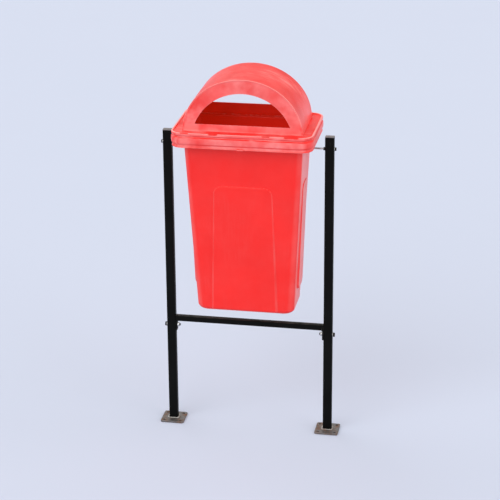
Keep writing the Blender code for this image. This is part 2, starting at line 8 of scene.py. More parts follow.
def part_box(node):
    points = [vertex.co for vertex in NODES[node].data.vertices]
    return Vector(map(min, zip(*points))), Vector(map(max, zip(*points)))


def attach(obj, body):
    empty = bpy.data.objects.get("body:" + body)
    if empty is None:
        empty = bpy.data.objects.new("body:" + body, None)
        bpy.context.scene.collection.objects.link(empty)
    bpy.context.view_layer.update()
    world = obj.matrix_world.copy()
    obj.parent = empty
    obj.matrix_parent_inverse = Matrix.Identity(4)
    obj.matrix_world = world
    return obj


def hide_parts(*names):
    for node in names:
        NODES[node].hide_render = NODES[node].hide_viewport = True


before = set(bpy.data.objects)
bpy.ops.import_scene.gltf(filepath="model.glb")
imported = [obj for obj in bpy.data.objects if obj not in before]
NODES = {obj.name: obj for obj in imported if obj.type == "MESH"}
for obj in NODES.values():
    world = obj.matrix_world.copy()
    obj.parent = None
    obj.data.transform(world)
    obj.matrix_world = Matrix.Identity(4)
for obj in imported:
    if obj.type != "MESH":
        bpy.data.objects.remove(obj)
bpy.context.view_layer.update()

SIDES = (("left", -1), ("right", 1))
QUARTER = math.pi / 2


def add(tree, kind, inputs=None, **settings):
    """Add a node to a shader or geometry tree. An input takes a value or another socket."""
    item = tree.nodes.new(kind)
    for name, value in settings.items():
        setattr(item, name, value)
    for name, value in (inputs or {}).items():
        if isinstance(value, bpy.types.NodeSocket):
            tree.links.new(value, item.inputs[name])
        else:
            item.inputs[name].default_value = value
    return item


def new_object(name, data):
    made = bpy.data.objects.new(name, data)
    bpy.context.scene.collection.objects.link(made)
    return made


def span(node):
    """The low corner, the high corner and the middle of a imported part."""
    low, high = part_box(node)
    return low, high, (low + high) / 2


def tree_of(*values):
    """The node tree that the first socket among some values belongs to."""
    return next(value.id_data for value in values if isinstance(value, bpy.types.NodeSocket))


def maths(operation, first, second=0.0, clamp=False):
    return add(tree_of(first, second), "ShaderNodeMath", {0: first, 1: second},
               operation=operation, use_clamp=clamp).outputs[0]


def product(first, *others):
    for other in others:
        first = maths("MULTIPLY", first, other)
    return first


def remap(value, low, high, to_low=0.0, to_high=1.0):
    ends = {"From Min": low, "From Max": high, "To Min": to_low, "To Max": to_high}
    return add(tree_of(value), "ShaderNodeMapRange", {"Value": value, **ends}).outputs[0]


def vectors(operation, first, second):
    return add(tree_of(first), "ShaderNodeVectorMath", {0: first, 1: second},
               operation=operation).outputs


def noise(tree, scale, detail, more=None, **settings):
    inputs = {"Scale": scale, "Detail": detail, **(more or {})}
    return add(tree, "ShaderNodeTexNoise", inputs, **settings).outputs


# %% [markdown]
# ## Camera
# The view is from in front, a little to the right, and from well above the bin, through a
# long lens. A small shift of the lens places the bin in the frame without turning the
# camera away from it. The camera's own axes are built from its three angles.
# %% Camera
CAMERA_PLACE = Vector((0.9387, -5.1433, 2.6401))
CAMERA_YAW, CAMERA_PITCH, CAMERA_ROLL = -0.2069, 0.3502, -0.0163
LENS, SENSOR_WIDTH = 127.5, 36
SHIFT = (0.0906, -0.07)


def make_camera():
    forward = Vector((math.sin(CAMERA_YAW) * math.cos(CAMERA_PITCH),
                      math.cos(CAMERA_YAW) * math.cos(CAMERA_PITCH), -math.sin(CAMERA_PITCH)))
    level = Vector((math.cos(CAMERA_YAW), -math.sin(CAMERA_YAW), 0))
    above = level.cross(forward)
    right = level * math.cos(CAMERA_ROLL) + above * math.sin(CAMERA_ROLL)
    up = above * math.cos(CAMERA_ROLL) - level * math.sin(CAMERA_ROLL)
    data = bpy.data.cameras.new("camera")
    data.lens, data.sensor_width, data.clip_end = LENS, SENSOR_WIDTH, 200
    data.shift_x, data.shift_y = SHIFT
    camera = new_object("camera", data)
    turn = Matrix((right, up, -forward)).transposed().to_4x4()
    camera.matrix_world = Matrix.Translation(CAMERA_PLACE) @ turn
    bpy.context.scene.camera = camera


make_camera()
print("camera", round(LENS), "mm lens,", round(CAMERA_PLACE.length, 2), "m from the ground point")

# %% [markdown]
# ## Shared shader groups
# Every real surface changes a little from place to place. The same few effects appear on
# plastic, paint and steel: soft cloudy changes, streaks that run one way, edges rubbed
# bare, dust that settles on what faces up, and a fine grain. Each is a node group that puts
# out a mask or a height, so that each material can use it with its own sizes.
# %% Shader groups: clouds, streaks, wear, dust and grain
def new_group(name, output, **inputs):
    """A shader group with one float output. An underscore in an input's name is a space."""
    tree = bpy.data.node_groups.new(name, "ShaderNodeTree")
    for socket, value in inputs.items():
        kind = "NodeSocketVector" if isinstance(value, tuple) else "NodeSocketFloat"
        made = tree.interface.new_socket(socket.replace("_", " "), in_out="INPUT", socket_type=kind)
        made.default_value = value
    tree.interface.new_socket(output, in_out="OUTPUT", socket_type="NodeSocketFloat")
    return tree, tree.nodes.new("NodeGroupInput").outputs, tree.nodes.new("NodeGroupOutput").inputs


def object_point(tree):
    return tree.nodes.new("ShaderNodeTexCoord").outputs["Object"]


def clouds_group():
    """Soft blotches: 0 to 1, changing over about one over Scale metres."""
    tree, given, out = new_group("clouds", "Mask", Scale=6.0, Low=0.35, High=0.65, Seed=0.0)
    made = noise(tree, given["Scale"], 5.0, {"Vector": object_point(tree), "W": given["Seed"]},
                 noise_dimensions="4D")
    tree.links.new(remap(made[0], given["Low"], given["High"]), out["Mask"])
    return tree


def streaks_group():
    """Thin marks that run along the axis whose Stretch is the smallest."""
    tree, given, out = new_group("streaks", "Mask", Stretch=(1, 1, 1), Scale=60.0, Low=0.5, High=0.75)
    point = vectors("MULTIPLY", object_point(tree), given["Stretch"])
    made = noise(tree, given["Scale"], 3.0, {"Vector": point[0], "Distortion": 0.3})
    tree.links.new(remap(made[0], given["Low"], given["High"]), out["Mask"])
    return tree


def wear_group():
    """White on sharp edges: where the rounded normal differs from the true one, broken up."""
    tree, given, out = new_group("edge_wear", "Mask", Radius=0.002, Scale=90.0, Amount=1.0)
    rounded = add(tree, "ShaderNodeBevel", {"Radius": given["Radius"]}, samples=6).outputs[0]
    true = tree.nodes.new("ShaderNodeNewGeometry").outputs["Normal"]
    edge = remap(vectors("DOT_PRODUCT", rounded, true)["Value"], 0.995, 0.90)
    broken = remap(noise(tree, given["Scale"], 4.0, {"Vector": object_point(tree)})[0], 0.42, 0.62)
    tree.links.new(maths("MULTIPLY", product(edge, broken), given["Amount"], True),
                   out["Mask"])
    return tree


def dust_group():
    """What faces up collects dust, in patches."""
    tree, given, out = new_group("settled_dust", "Mask", Scale=30.0, Amount=0.5)
    coordinates = tree.nodes.new("ShaderNodeTexCoord").outputs
    height = add(tree, "ShaderNodeSeparateXYZ", {0: coordinates["Normal"]}).outputs["Z"]
    made = noise(tree, given["Scale"], 6.0, {"Vector": coordinates["Object"]})
    mask = product(remap(height, 0.35, 0.95), remap(made[0], 0.38, 0.70))
    tree.links.new(maths("MULTIPLY", mask, given["Amount"], True), out["Mask"])
    return tree


def grain_group():
    """The texture of a moulded or painted skin: a fine grain on a slow unevenness."""
    tree, given, out = new_group("grain", "Height", Fine_Scale=900.0, Slow_Scale=22.0, Slow_Share=0.7)
    point = {"Vector": object_point(tree)}
    fine = noise(tree, given["Fine Scale"], 2.0, point)[0]
    slow = noise(tree, given["Slow Scale"], 1.0, point)[0]
    mix = add(tree, "ShaderNodeMix", {0: given["Slow Share"], 2: fine, 3: slow})
    tree.links.new(mix.outputs[0], out["Height"])
    return tree


GROUPS = {"clouds": clouds_group(), "streaks": streaks_group(), "wear": wear_group(),
          "dust": dust_group(), "grain": grain_group()}
print("shader groups:", ", ".join(GROUPS))

# %% [markdown]
# ## Red plastic
# The bin is moulded in a bright red that has weathered outdoors. Its vault has fine streaks
# that run round it, edges wear pale, and dust lies where it faces up. A painted reflection
# makes the lid's faces and the body's sides a paler pink in soft patches, and painted
# highlights make the rounded corners, the lips and the bead pale. A painted glow, standing in
# for daylight through the wall, makes the inside a deep red.
# %% Tools for materials
def use(tree, name, **inputs):
    """Place a shared group and return its one output."""
    item = add(tree, "ShaderNodeGroup", node_tree=GROUPS[name])
    for socket, value in inputs.items():
        item.inputs[socket.replace("_", " ")].default_value = value
    return item.outputs[0]


def tint(share, under, over):
    """Lay one colour over another by a mask."""
    return add(tree_of(share), "ShaderNodeMix", {0: share, 6: under, 7: over},
               data_type="RGBA").outputs[2]


def new_material(name, roughness, metallic=0.0, **shader_values):
    material = bpy.data.materials.new(name)
    material.use_nodes = True
    shader = material.node_tree.nodes["Principled BSDF"]
    for socket, value in {"Roughness": roughness, "Metallic": metallic, **shader_values}.items():
        shader.inputs[socket.replace("_", " ")].default_value = value
    return material, material.node_tree, shader


def feed(shader, **sockets):
    """Link a value to each of the shader's named inputs."""
    for name, value in sockets.items():
        shader.id_data.links.new(value, shader.inputs[name.replace("_", " ")])


def set_relief(shader, height, distance, strength):
    inputs = {"Height": height, "Distance": distance, "Strength": strength}
    feed(shader, Normal=add(shader.id_data, "ShaderNodeBump", inputs).outputs[0])


def object_axes(tree):
    """The place on the object and the way a face looks, each as X, Y and Z."""
    coordinates = tree.nodes.new("ShaderNodeTexCoord").outputs
    place, facing = (add(tree, "ShaderNodeSeparateXYZ", {0: coordinates[name]}).outputs
                     for name in ("Object", "Normal"))
    return place, facing


def size_of(value):
    return maths("ABSOLUTE", value)


# %% Red plastic for the lid and for the body
RED = (0.95, 0.017, 0.013, 1)
DEEP_RED = (0.74, 0.010, 0.007, 1)
# pale pink of the streaks, and of the painted reflection on faces and sides
PALE_STREAK_AND_REFLECTION = (0.97, 0.25, 0.24, 1)
# pale pink of worn edges, and of the painted highlights on corners, lip and bead
PALE_WEAR_AND_HIGHLIGHT = (0.98, 0.42, 0.40, 1)
DUST_RED = (0.80, 0.33, 0.31, 1)
BLACK = (0, 0, 0, 1)
PAINTED_INSIDE_GLOW = (0.042, 0.005, 0.0008, 1)      # painted glow inside the bin, standing in for daylight through the wall
LIP_HEIGHTS = (1.0306, 1.0324)        # the painted highlight on the rim's lip fades in between these heights
HOOD_HEIGHTS = (1.050, 1.060)         # above these only the hood is left
BEAD_PLACES = (0.0990, 0.0998)        # the hood's bead lies beyond this, front and rear
FLANGE_X, FLANGE_Y = (0.200, 0.206), (0.112, 0.118)


def outside_hood(place):
    """1 beyond the foot of the hood, where the flange and its lip lie."""
    return maths("MAXIMUM", remap(size_of(place["X"]), *FLANGE_X),
                 remap(size_of(place["Y"]), *FLANGE_Y))


def hood_bead(place, facing):
    """1 on the rounded part of the bead round each face of the hood."""
    return product(remap(size_of(place["Y"]), *BEAD_PLACES),
                   remap(size_of(facing["Y"]), 0.95, 0.80),
                   remap(place["Z"], *HOOD_HEIGHTS))


def painted_reflection_mask(tree, place, facing, outward, patch, reflection_shares, seed):
    """Painted pale reflection, as a mask. The three shares say how far it goes on the faces that look
    forward, how far on the sides, and how squarely a side must face outward. The hood's left part gets
    less."""
    face = product(remap(size_of(facing["Y"]), 0.80, 0.97),
                   remap(outward["Y"], 0.0, 0.03, 0.0, reflection_shares[0]))
    flank = product(remap(size_of(facing["X"]), reflection_shares[2], 0.99),
                    remap(outward["X"], 0.0, 0.03, 0.0, reflection_shares[1]),
                    remap(patch, 0, 1, 0.6, 1.0))
    across = maths("MAXIMUM", remap(place["X"], -0.17, -0.02, 0.30, 1.0),
                   remap(place["Z"], 1.060, 1.035))
    mottle = use(tree, "clouds", Scale=55.0, Low=0.30, High=0.70, Seed=seed)
    face = product(face, patch, across, remap(mottle, 0, 1, 0.75, 1.15))
    return maths("MAXIMUM", face, flank)


def red_plastic(name, depth, reflection_shares, streak_stretch, streak_strength, seed):
    """depth: how strongly deep red shows in clouds. The other masks are laid over it in turn:
    streaks, painted pale reflection, painted highlights on corners, lip and bead, dust, and worn
    edges. The inside faces get a painted glow."""
    material, tree, shader = new_material(name, 0.36, Specular_IOR_Level=0.28)
    place, facing = object_axes(tree)
    outward = {axis: product(facing[axis], place[axis]) for axis in "XY"}
    inside = remap(maths("ADD", outward["X"], outward["Y"]), -0.002, -0.03)
    # a painted glow in deep red on the inside faces, standing in for daylight through the wall
    feed(shader, Emission_Color=tint(inside, BLACK, PAINTED_INSIDE_GLOW))
    shader.inputs["Emission Strength"].default_value = 1.0

    cloud = use(tree, "clouds", Scale=9.0, Low=0.34, High=0.68, Seed=seed)
    patch = use(tree, "clouds", Scale=12.0, Low=0.20, High=0.66, Seed=seed + 4)
    broad = use(tree, "clouds", Scale=7.0, Low=0.48, High=0.60, Seed=seed + 9)
    streak = product(use(tree, "streaks", Stretch=streak_stretch, Scale=75.0, Low=0.47, High=0.62),
                     broad, remap(inside, 0, 1, streak_strength, 0.0))
    # painted highlight: pale on rounded corners, on the rim's lip and on the hood's bead
    corner = size_of(product(facing["X"], facing["Y"]))
    painted_highlight = product(remap(corner, 0.30, 0.49, 0.0, 0.16), patch)
    lip = product(remap(place["Z"], *LIP_HEIGHTS), outside_hood(place), 0.80)
    painted_highlight = maths("MAXIMUM", painted_highlight, lip)
    painted_highlight = maths("MAXIMUM", painted_highlight, product(hood_bead(place, facing), 0.65))
    dust = use(tree, "dust", Scale=26.0, Amount=0.12)
    colour = RED
    for mask, over in ((product(cloud, depth), DEEP_RED), (streak, PALE_STREAK_AND_REFLECTION),
                       (painted_reflection_mask(tree, place, facing, outward, patch, reflection_shares, seed + 2), PALE_STREAK_AND_REFLECTION),
                       (painted_highlight, PALE_WEAR_AND_HIGHLIGHT), (dust, DUST_RED),
                       (use(tree, "wear", Radius=0.0022, Scale=120.0, Amount=0.6), PALE_WEAR_AND_HIGHLIGHT)):
        colour = tint(mask, colour, over)
    rough = maths("ADD", remap(cloud, 0, 1, 0.30, 0.42), product(dust, 0.25))
    feed(shader, Base_Color=colour, Roughness=rough)
    grain = use(tree, "grain", Fine_Scale=1100.0, Slow_Scale=14.0, Slow_Share=0.93)
    set_relief(shader, grain, 0.004, 0.6)
    return material


# painted reflection: strong on the lid's forward faces, strong on the body's sides
LID_RED = red_plastic("red_plastic_lid", 0.95, (0.95, 0.50, 0.82), (0.25, 3, 0.25), 0.72, 1.0)
BODY_RED = red_plastic("red_plastic_body", 0.25, (0.06, 0.75, 0.90), (3, 3, 0.2), 0.03, 7.0)
print("red plastic:", LID_RED.name, BODY_RED.name)

# %% [markdown]
# ## Steel, paint and small parts
# The posts and the crossbar are mild steel tube under black paint, which shows a slight
# orange-peel texture, thin scratches and edges rubbed to grey. The base plates were left
# bare, so they are brown-grey with rust. Bolts, nuts and washers are zinc plated, which is
# a spangled grey, or blackened. The post caps and the bushes are grey plastic.
# %% Black paint
def black_paint():
    material, tree, shader = new_material("black_paint", 0.38, Specular_IOR_Level=0.08)
    cloud = use(tree, "clouds", Scale=14.0, Low=0.3, High=0.7, Seed=3.0)
    colour = tint(cloud, (0.0016, 0.0017, 0.0016, 1), (0.0034, 0.0036, 0.0034, 1))
    dust = use(tree, "dust", Scale=40.0, Amount=0.40)
    colour = tint(dust, colour, (0.10, 0.098, 0.095, 1))
    worn = use(tree, "wear", Radius=0.0012, Scale=160.0, Amount=0.5)
    scratch = use(tree, "streaks", Stretch=(6, 6, 0.5), Scale=60.0, Low=0.70, High=0.78)
    bare = maths("MAXIMUM", worn, product(scratch, 0.10))
    colour = tint(bare, colour, (0.16, 0.155, 0.15, 1))
    rough = maths("ADD", remap(cloud, 0, 1, 0.40, 0.52), product(dust, 0.25))
    feed(shader, Base_Color=colour, Roughness=rough)
    grain = use(tree, "grain", Fine_Scale=500.0, Slow_Scale=60.0, Slow_Share=0.5)
    set_relief(shader, grain, 0.0012, 0.5)
    return material


# %% Bare steel with rust, and the weld metal
LIGHT_RUST, DARK_RUST = (0.24, 0.115, 0.055, 1), (0.135, 0.058, 0.026, 1)


def bare_steel(name, clean, rust_low, rust_high, roughness):
    material, tree, shader = new_material(name, roughness, 0.85)
    rust = use(tree, "clouds", Scale=70.0, Low=rust_low, High=rust_high, Seed=2.0)
    speck = use(tree, "clouds", Scale=420.0, Low=0.45, High=0.62, Seed=5.0)
    brushed = use(tree, "streaks", Stretch=(1, 9, 9), Scale=110.0, Low=0.3, High=0.8)
    dark = tuple(0.55 * c for c in clean[:3]) + (1,)
    colour = tint(rust, tint(brushed, dark, clean), tint(speck, DARK_RUST, LIGHT_RUST))
    feed(shader, Base_Color=colour, Metallic=remap(rust, 0, 1, 0.85, 0.05),
         Roughness=remap(rust, 0, 1, roughness, 0.85))
    height = maths("ADD", product(rust, 0.7), product(speck, 0.3))
    set_relief(shader, height, 0.0004, 0.7)
    return material


# %% Zinc plate, blackened steel and grey plastics
GRIME, GREY_DUST, RUBBED_GREY = (0.12, 0.09, 0.06, 1), (0.34, 0.33, 0.32, 1), (0.40, 0.40, 0.40, 1)


def small_metal(name, light, dark, roughness, grime):
    material, tree, shader = new_material(name, roughness, 1.0)
    spangle = use(tree, "clouds", Scale=260.0, Low=0.40, High=0.60, Seed=1.0)
    dull = use(tree, "clouds", Scale=60.0, Low=0.40, High=0.70, Seed=8.0)
    colour = tint(product(dull, grime), tint(spangle, dark, light), GRIME)
    feed(shader, Base_Color=colour, Roughness=remap(dull, 0, 1, roughness, roughness + 0.25))
    set_relief(shader, spangle, 0.0001, 0.4)
    return material


def grey_plastic(name, light, dark):
    material, tree, shader = new_material(name, 0.5)
    cloud = use(tree, "clouds", Scale=90.0, Low=0.3, High=0.7, Seed=6.0)
    colour = tint(cloud, dark, light)
    colour = tint(use(tree, "dust", Scale=120.0, Amount=0.6), colour, GREY_DUST)
    colour = tint(use(tree, "wear", Radius=0.0008, Scale=300.0, Amount=0.5), colour, RUBBED_GREY)
    feed(shader, Base_Color=colour, Roughness=remap(cloud, 0, 1, 0.42, 0.60))
    grain = use(tree, "grain", Fine_Scale=1500.0, Slow_Scale=200.0, Slow_Share=0.4)
    set_relief(shader, grain, 0.0004, 0.5)
    return material


# %% Make the finishes
WELD_METAL = bare_steel("weld_metal", (0.66, 0.64, 0.61, 1), 0.50, 0.75, 0.30)
FINISHES = {
    "black_paint": black_paint(),
    "bare_steel": bare_steel("bare_steel", (0.27, 0.255, 0.25, 1), 0.46, 0.70, 0.42),
    "zinc_plate": small_metal("zinc_plate", (0.66, 0.67, 0.68, 1), (0.46, 0.47, 0.49, 1), 0.30, 0.35),
    "blackened_steel": small_metal("blackened_steel", (0.050, 0.050, 0.052, 1),
                                   (0.026, 0.026, 0.028, 1), 0.40, 0.25),
    "grey_cap": grey_plastic("grey_cap", (0.16, 0.16, 0.165, 1), (0.10, 0.10, 0.105, 1)),
    "grey_nylon": grey_plastic("grey_nylon", (0.30, 0.30, 0.30, 1), (0.20, 0.20, 0.21, 1)),
}
print("finishes:", ", ".join(FINISHES))

# %% [markdown]
# ## From sections to a surface
# A moulded shell is drawn as a stack of closed sections. Every section has the same number
# of points, so that a strip of faces joins each one to the next. A raised panel is part of
# the section itself: its sides rise with a soft S shape, as a real mould has no sharp step.
# %% Sections and skins
def soften(line, rounds=2):
    """Round an open line by cutting its corners, each time at a quarter and three quarters."""
    for _ in range(rounds):
        cut = [line[0]]
        for (a, b), (c, d) in zip(line, line[1:]):
            cut += [(near * a + (1 - near) * c, near * b + (1 - near) * d) for near in (0.75, 0.25)]
        line = cut + [line[-1]]
    return line


def ease(share):
    share = min(max(share, 0.0), 1.0)
    return share * share * (3 - 2 * share)


def strip(bm, lower, upper):
    """Join two closed rings of vertices by a band of faces."""
    count = len(lower)
    for i in range(count):
        j = (i + 1) % count
        bm.faces.new((lower[i], lower[j], upper[j], upper[i]))


def skin(bm, rings):
    """Join a stack of closed rings of points and return the rings' vertices."""
    layers = [[bm.verts.new(point) for point in ring] for ring in rings]
    for below, above in zip(layers, layers[1:]):
        strip(bm, below, above)
    return layers


def shade(mesh, angle):
    mesh.shade_smooth()
    mesh.set_sharp_from_angle(angle=math.radians(angle))


def make_piece(name, bm, material, smooth_angle=40, face_out=False):
    if face_out:
        bmesh.ops.recalc_face_normals(bm, faces=bm.faces)
    mesh = bpy.data.meshes.new(name)
    bm.to_mesh(mesh)
    bm.free()
    mesh.materials.append(material)
    shade(mesh, smooth_angle)
    return new_object(name, mesh)


def settle(piece, smooth_angle):
    """Turn a piece and its modifiers into one plain mesh."""
    bpy.context.view_layer.update()
    graph = bpy.context.evaluated_depsgraph_get()
    mesh = bpy.data.meshes.new_from_object(piece.evaluated_get(graph), depsgraph=graph)
    piece.modifiers.clear()
    piece.data = mesh
    shade(mesh, smooth_angle)
    return piece


def hand_over(piece, body, slot, *nodes):
    """Say which body a piece rides on and which nodes it stands for. The slot is not used."""
    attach(piece, body)
    if nodes:
        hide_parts(*nodes)
    return piece


def add_wall(piece):
    wall = piece.modifiers.new("wall", "SOLIDIFY")
    wall.thickness, wall.offset = WALL, -1
    return wall


def soft_normals(piece):
    modifier = piece.modifiers.new("even_shading", "WEIGHTED_NORMAL")
    modifier.keep_sharp, modifier.weight = True, 60


# %% [markdown]
# ## Bin body
# The body is one thin shell that tapers to a smaller base, so that bins stack and come out
# of the mould. A low panel is raised on each of its four sides, and it stands out more
# towards the base. The walls are 3 mm thick. The top ends in a flange under the lid.
# %% Sizes of the body
WALL = 0.003
RIM_BOTTOM, RIM_TOP = 0.985, 1.0326
FLANGE_TOP = RIM_TOP - 0.004
BODY_BOTTOM, BODY_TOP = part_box("bin_body")[0].z, FLANGE_TOP - WALL - 0.0003
BODY_TOP_SIZE, BODY_BOTTOM_SIZE = (0.3695, 0.2085), (0.3095, 0.155)
TOP_CORNER, BOTTOM_CORNER, BASE_FILLET = 0.024, 0.032, 0.018
PANEL_TOP, PANEL_CORNER = 0.854, 0.024
PANEL_HEAD, PANEL_FOOT = 0.0025, 0.0080                      # how far a panel stands out
SIDE_PANEL, FRONT_PANEL = (0.040, 0.038), (0.088, 0.098)     # half widths at the top and base
SIDE_PANEL_END = 0.500                                       # the side panels stop above the base
PANEL_FADE = 0.008                                           # the front panel fades out in the fillet
SLOPE_STEPS = 6
FLANGE_OUT, FLANGE_FILLET = 0.0155, 0.004
DRAIN_RADIUS, DRAIN_PLACES = 0.005, ((0, 0), (-0.09, -0.03), (0.09, -0.03), (-0.09, 0.03), (0.09, 0.03))
BUSH_HOLE = 0.0078
PIVOT_HEIGHT = span("left_pivot_bolt")[2].z


def wall_half(z, axis):
    share = (z - BODY_BOTTOM) / (RIM_BOTTOM - BODY_BOTTOM)
    return (BODY_BOTTOM_SIZE[axis] + (BODY_TOP_SIZE[axis] - BODY_BOTTOM_SIZE[axis]) * share) / 2


def panel_shape(z, halves, end):
    """Half the width of a panel and how far it stands out at a height. It narrows round its
    corners towards its top and its lower end, and fades out past them."""
    top, bottom = halves
    share = (z - BODY_BOTTOM) / (PANEL_TOP - BODY_BOTTOM)
    inside = min(PANEL_TOP - z, z - end)
    short = PANEL_CORNER - min(max(inside, 0.0), PANEL_CORNER)
    half = bottom + (top - bottom) * share - PANEL_CORNER + math.sqrt(PANEL_CORNER ** 2 - short ** 2)
    proud = PANEL_FOOT + (PANEL_HEAD - PANEL_FOOT) * share
    return half, max(proud * ease((inside + 0.001) / 0.003), 0.0)


def section(z, half_x, half_y, corner, panels=((0.03, 0.0), (0.05, 0.0)), arc_steps=12):
    """A rounded rectangle with a panel, given by its half width and rise, on each side."""
    points = []
    for quarter in range(4):
        out, along = (half_x, half_y) if quarter % 2 == 0 else (half_y, half_x)
        panel, bump = panels[quarter % 2]
        turn = quarter * QUARTER
        normal = Vector((math.cos(turn), math.sin(turn), 0))
        tangent = Vector((-math.sin(turn), math.cos(turn), 0))
        draft = 0.001 + 1.1 * bump
        rises = [step / SLOPE_STEPS for step in range(SLOPE_STEPS + 1)]
        profile = [(-panel - draft * (1 - rise), bump * ease(rise)) for rise in rises]
        profile += [(-shift, proud) for shift, proud in reversed(profile)]
        for shift, proud in profile:
            points.append(normal * (out + proud) + tangent * shift + Vector((0, 0, z)))
        for step in range(arc_steps + 1):
            bend = step / arc_steps * QUARTER
            points.append(normal * (out - corner + corner * math.cos(bend))
                          + tangent * (along - corner + corner * math.sin(bend)) + Vector((0, 0, z)))
    return points


def body_ring(z, inset=0.0):
    share = (z - BODY_BOTTOM) / (RIM_BOTTOM - BODY_BOTTOM)
    corner = BOTTOM_CORNER + (TOP_CORNER - BOTTOM_CORNER) * share
    half, proud = panel_shape(z, FRONT_PANEL, 0.0)
    front = (half, proud * ease(1 - inset / PANEL_FADE))
    return section(z, wall_half(z, 0) - inset, wall_half(z, 1) - inset, corner - inset * 0.6,
                   (panel_shape(z, SIDE_PANEL, SIDE_PANEL_END), front))


# %% Build the body's shell
def body_rings():
    rings = [body_ring(BODY_BOTTOM, 2 * BASE_FILLET), body_ring(BODY_BOTTOM, 1.3 * BASE_FILLET)]
    for step in range(9):
        turn = step / 8 * QUARTER
        rings.append(body_ring(BODY_BOTTOM + BASE_FILLET * (1 - math.cos(turn)),
                               BASE_FILLET * (1 - math.sin(turn))))
    flange_z = BODY_TOP - WALL
    from_end = [PANEL_CORNER * (1 - math.cos(step / 10 * QUARTER)) for step in range(11)]
    heights = [SIDE_PANEL_END - 0.001, SIDE_PANEL_END - 0.0005] + [SIDE_PANEL_END + d for d in from_end]
    heights += [0.55, 0.59, 0.63, 0.67, 0.71, 0.75, 0.79] + [PANEL_TOP - d for d in reversed(from_end)]
    heights += [PANEL_TOP + 0.0005, PANEL_TOP + 0.001, 0.88, 0.91, 0.94, 0.965, 0.99, flange_z - 0.004]
    rings += [body_ring(z) for z in heights]
    for step in range(1, 6):
        turn = step / 5 * QUARTER
        rings.append(body_ring(flange_z - FLANGE_FILLET * (1 - math.sin(turn)),
                               -FLANGE_FILLET * (1 - math.cos(turn))))
    half = (wall_half(flange_z, 0) + FLANGE_OUT, wall_half(flange_z, 1) + FLANGE_OUT)
    rings.append(section(flange_z, *half, TOP_CORNER + FLANGE_OUT))
    return rings


def add_cylinder(bm, radius, start, end, sides=32):
    start, end = Vector(start), Vector(end)
    made = bmesh.ops.create_cone(bm, cap_ends=True, segments=sides, radius1=radius, radius2=radius,
                                 depth=(end - start).length)["verts"]
    turn = Vector((0, 0, 1)).rotation_difference(end - start).to_matrix().to_4x4()
    bmesh.ops.transform(bm, matrix=Matrix.Translation((start + end) / 2) @ turn, verts=made)


def make_body():
    bm = bmesh.new()
    layers = skin(bm, body_rings())
    bm.faces.new(reversed(layers[0]))
    body = make_piece("bin_shell", bm, BODY_RED)
    add_wall(body).use_even_offset = True
    holes = bmesh.new()
    for x, y in DRAIN_PLACES:
        add_cylinder(holes, DRAIN_RADIUS, (x, y, BODY_BOTTOM - 0.02), (x, y, BODY_BOTTOM + 0.02))
    for _, sign in SIDES:
        add_cylinder(holes, BUSH_HOLE, (sign * 0.15, 0, PIVOT_HEIGHT), (sign * 0.21, 0, PIVOT_HEIGHT))
    drill = make_piece("drill", holes, BODY_RED)
    cut = body.modifiers.new("holes", "BOOLEAN")
    cut.object, cut.operation, cut.solver = drill, "DIFFERENCE", "EXACT"
    settle(body, 40)
    bpy.data.objects.remove(drill)
    soft_normals(body)
    return hand_over(body, "bin", "red_plastic", "bin_body")


BODY = make_body()
print("bin shell:", len(BODY.data.polygons), "faces")

# %% [markdown]
# ## Lid rim
# The rim is a stepped skirt that hangs over the body's flange: a small bead at its lower
# edge, a band, a bulge, a groove and a raised lip round the flat flange. The lip is cut
# down in four places at the front, so that rain runs off. The whole shell is one closed
# section drawn once and carried round the rim.
# %% Build the rim
RIM_HALF = (0.441 / 2, 0.280 / 2)
RIM_CORNER = 0.040
RIM_INNER_EDGE = 0.020
HOOD_HALF = (0.185, 0.100)
DRAIN_NOTCHES = ((-0.182, -0.160), (-0.097, -0.071), (0.067, 0.089), (0.135, 0.178))


def rim_profile():
    """Pairs of inset and height, from the lower edge up the outside to the flange."""
    low, top = RIM_BOTTOM, RIM_TOP
    line = [(0.0060, low), (0.0024, low), (0.0020, low + 0.0018), (0.0034, low + 0.0034),
            (0.0038, low + 0.0100), (0.0010, low + 0.0126), (0.0, low + 0.0170),
            (0.0, low + 0.0285), (0.0012, low + 0.0325), (0.0044, low + 0.0345),
            (0.0046, low + 0.0375), (0.0014, low + 0.0392), (0.0008, low + 0.0440),
            (0.0016, top), (0.0064, top), (0.0078, FLANGE_TOP + 0.0008), (0.0110, FLANGE_TOP),
            (RIM_INNER_EDGE, FLANGE_TOP)]
    return soften(line)


def front_places():
    """Where the rim has points along its straight front and rear, closer at each notch."""
    straight = RIM_HALF[0] - RIM_CORNER
    places = [straight * (2 * i / 50 - 1) for i in range(51)]
    for ends in DRAIN_NOTCHES:
        for edge in ends:
            places += [edge - 0.0016, edge - 0.0006, edge + 0.0006, edge + 0.0016]
    return sorted(x for x in set(places) if abs(x) <= straight)


def rim_ring(inset, z):
    """The rim's section; its corners keep one centre as the inset grows."""
    corner = max(RIM_CORNER - inset, 0.002)
    half_x, half_y = RIM_HALF[0] - inset, RIM_HALF[1] - inset
    span_x, span_y = RIM_HALF[0] - RIM_CORNER, RIM_HALF[1] - RIM_CORNER
    keep_x, keep_y = (half_x - corner) / span_x, (half_y - corner) / span_y
    sides = ([(half_x, y * keep_y) for y in (span_y * (i / 8 - 1) for i in range(17))],
             [(x * keep_x, half_y) for x in reversed(front_places())],
             [(-half_x, y * keep_y) for y in (span_y * (1 - i / 8) for i in range(17))],
             [(x * keep_x, -half_y) for x in front_places()])
    ring = []
    for index, side in enumerate(sides):
        ring += [Vector((x, y, z)) for x, y in side]
        away = Vector((math.cos(index * QUARTER), math.sin(index * QUARTER), 0))
        centre = Vector((side[-1][0], side[-1][1], z)) - corner * away
        for step in range(1, 12):
            turn = (index + step / 12) * QUARTER
            ring.append(centre + corner * Vector((math.cos(turn), math.sin(turn), 0)))
    return ring


